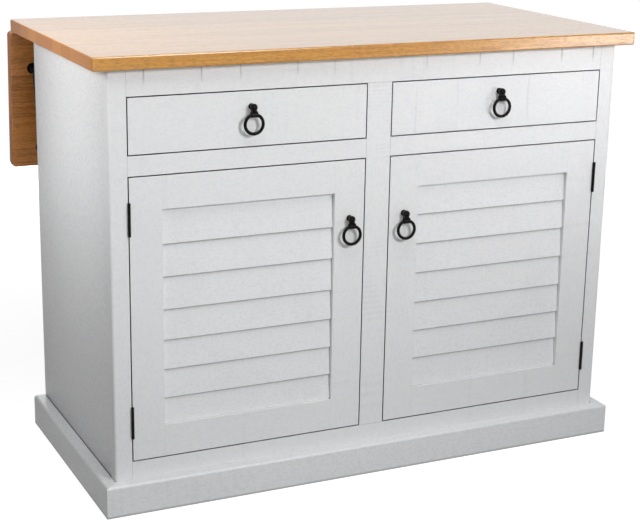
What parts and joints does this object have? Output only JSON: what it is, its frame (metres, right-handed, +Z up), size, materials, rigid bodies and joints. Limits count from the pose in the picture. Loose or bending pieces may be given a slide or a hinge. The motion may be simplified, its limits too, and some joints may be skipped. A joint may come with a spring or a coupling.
{
  "type": "drop leaf kitchen island",
  "caption": "Kitchen island: painted cabinet with drawers over louvred doors, ring pulls, an overhanging wood top and a hinged drop leaf behind it held by prop stays.",
  "frame": {"origin": "on the floor, in the middle of the footprint of the whole island with its leaf hanging", "axes": "+Z up, +X to the right when facing the drawers, +Y from the drawers and doors towards the hanging leaf"},
  "size_m": [1.202, 0.6618, 0.914],
  "materials": {
    "white_paint": "satin white paint on rough-sawn wood",
    "top_wood": "clear satin lacquer on honey-coloured wood",
    "inner_wood": "plain sanded wood",
    "black_iron": "dull black",
    "stay_steel": "black coated steel rod with a rubber foot"
  },
  "bodies": {
    "cabinet": {"tabletop": "top_wood", "side_panel_left": "white_paint", "side_panel_right": "white_paint", "back_panel": "white_paint", "bottom_panel": "inner_wood", "shelf": "inner_wood", "base_rail_back": "inner_wood", "top_stretcher_back": "inner_wood", "face_stile_left": "white_paint", "face_stile_right": "white_paint", "face_stile_centre": "white_paint", "face_rail_top": "white_paint", "face_rail_middle_left": "white_paint", "face_rail_middle_right": "white_paint", "face_rail_bottom": "white_paint", "plinth_front": "white_paint", "plinth_left": "white_paint", "plinth_right": "white_paint", "drawer_runner_left": "inner_wood", "drawer_runner_centre": "inner_wood", "drawer_runner_right": "inner_wood", "door_hinge_left_lower_frame": "black_iron", "door_hinge_left_upper_frame": "black_iron", "door_hinge_right_lower_frame": "black_iron", "door_hinge_right_upper_frame": "black_iron", "leaf_hinge_left_fixed": "black_iron", "leaf_hinge_centre_fixed": "black_iron", "leaf_hinge_right_fixed": "black_iron", "stay_plate_left": "black_iron", "stay_plate_right": "black_iron"},
    "drawer_left": {"drawer_front_left": "white_paint", "drawer_box_left": "inner_wood", "drawer_bottom_left": "inner_wood", "drawer_left_pull_post": "black_iron"},
    "drawer_left_ring": {"drawer_left_pull_ring": "black_iron"},
    "drawer_right": {"drawer_front_right": "white_paint", "drawer_box_right": "inner_wood", "drawer_bottom_right": "inner_wood", "drawer_right_pull_post": "black_iron"},
    "drawer_right_ring": {"drawer_right_pull_ring": "black_iron"},
    "door_left": {"door_frame_left": "white_paint", "louvre_panel_left": "white_paint", "door_hinge_left_lower_leaf": "black_iron", "door_hinge_left_upper_leaf": "black_iron", "door_left_pull_post": "black_iron"},
    "door_left_ring": {"door_left_pull_ring": "black_iron"},
    "door_right": {"door_frame_right": "white_paint", "louvre_panel_right": "white_paint", "door_hinge_right_lower_leaf": "black_iron", "door_hinge_right_upper_leaf": "black_iron", "door_right_pull_post": "black_iron"},
    "door_right_ring": {"door_right_pull_ring": "black_iron"},
    "leaf": {"drop_leaf": "top_wood", "leaf_hinge_left_flap": "black_iron", "leaf_hinge_centre_flap": "black_iron", "leaf_hinge_right_flap": "black_iron", "stay_pivot_left": "black_iron", "stay_pivot_right": "black_iron"},
    "stay_left": {"stay_left": "stay_steel"},
    "stay_right": {"stay_right": "stay_steel"}
  },
  "joints": [
    {"name": "drawer_left_slide", "type": "slide", "parent": "cabinet", "child": "drawer_left", "axis": [0, -1, 0], "range_m": [0, 0.34]},
    {"name": "drawer_right_slide", "type": "slide", "parent": "cabinet", "child": "drawer_right", "axis": [0, -1, 0], "range_m": [0, 0.34]},
    {"name": "door_left_hinge", "type": "hinge", "parent": "cabinet", "child": "door_left", "pos_m": [-0.52925, -0.30919, 0.3925], "axis": [0, 0, -1], "range_deg": [0, 165]},
    {"name": "door_right_hinge", "type": "hinge", "parent": "cabinet", "child": "door_right", "pos_m": [0.52925, -0.30919, 0.3925], "axis": [0, 0, 1], "range_deg": [0, 165]},
    {"name": "drawer_left_ring_swing", "type": "hinge", "parent": "drawer_left", "child": "drawer_left_ring", "pos_m": [-0.27875, -0.32089, 0.7884], "axis": [-1, 0, 0], "range_deg": [-17, 90]},
    {"name": "drawer_right_ring_swing", "type": "hinge", "parent": "drawer_right", "child": "drawer_right_ring", "pos_m": [0.27875, -0.32089, 0.7884], "axis": [-1, 0, 0], "range_deg": [-17, 90]},
    {"name": "door_left_ring_swing", "type": "hinge", "parent": "door_left", "child": "door_left_ring", "pos_m": [-0.0625, -0.32089, 0.5464], "axis": [-1, 0, 0], "range_deg": [-17, 90]},
    {"name": "door_right_ring_swing", "type": "hinge", "parent": "door_right", "child": "door_right_ring", "pos_m": [0.0625, -0.32089, 0.5464], "axis": [-1, 0, 0], "range_deg": [-17, 90]},
    {"name": "leaf_lift", "type": "hinge", "parent": "cabinet", "child": "leaf", "pos_m": [0, 0.27951, 0.8835], "axis": [1, 0, 0], "range_deg": [0, 86]},
    {"name": "stay_left_swing", "type": "hinge", "parent": "leaf", "child": "stay_left", "pos_m": [-0.553, 0.27462, 0.80296], "axis": [-1, 0, 0], "range_deg": [0, 119.6]},
    {"name": "stay_right_swing", "type": "hinge", "parent": "leaf", "child": "stay_right", "pos_m": [0.553, 0.27462, 0.80296], "axis": [-1, 0, 0], "range_deg": [0, 119.6]}
  ],
  "couplings": [
    {"joint": "stay_left_swing", "follows": "leaf_lift", "ratio": 1.3905},
    {"joint": "stay_right_swing", "follows": "leaf_lift", "ratio": 1.3905}
  ]
}
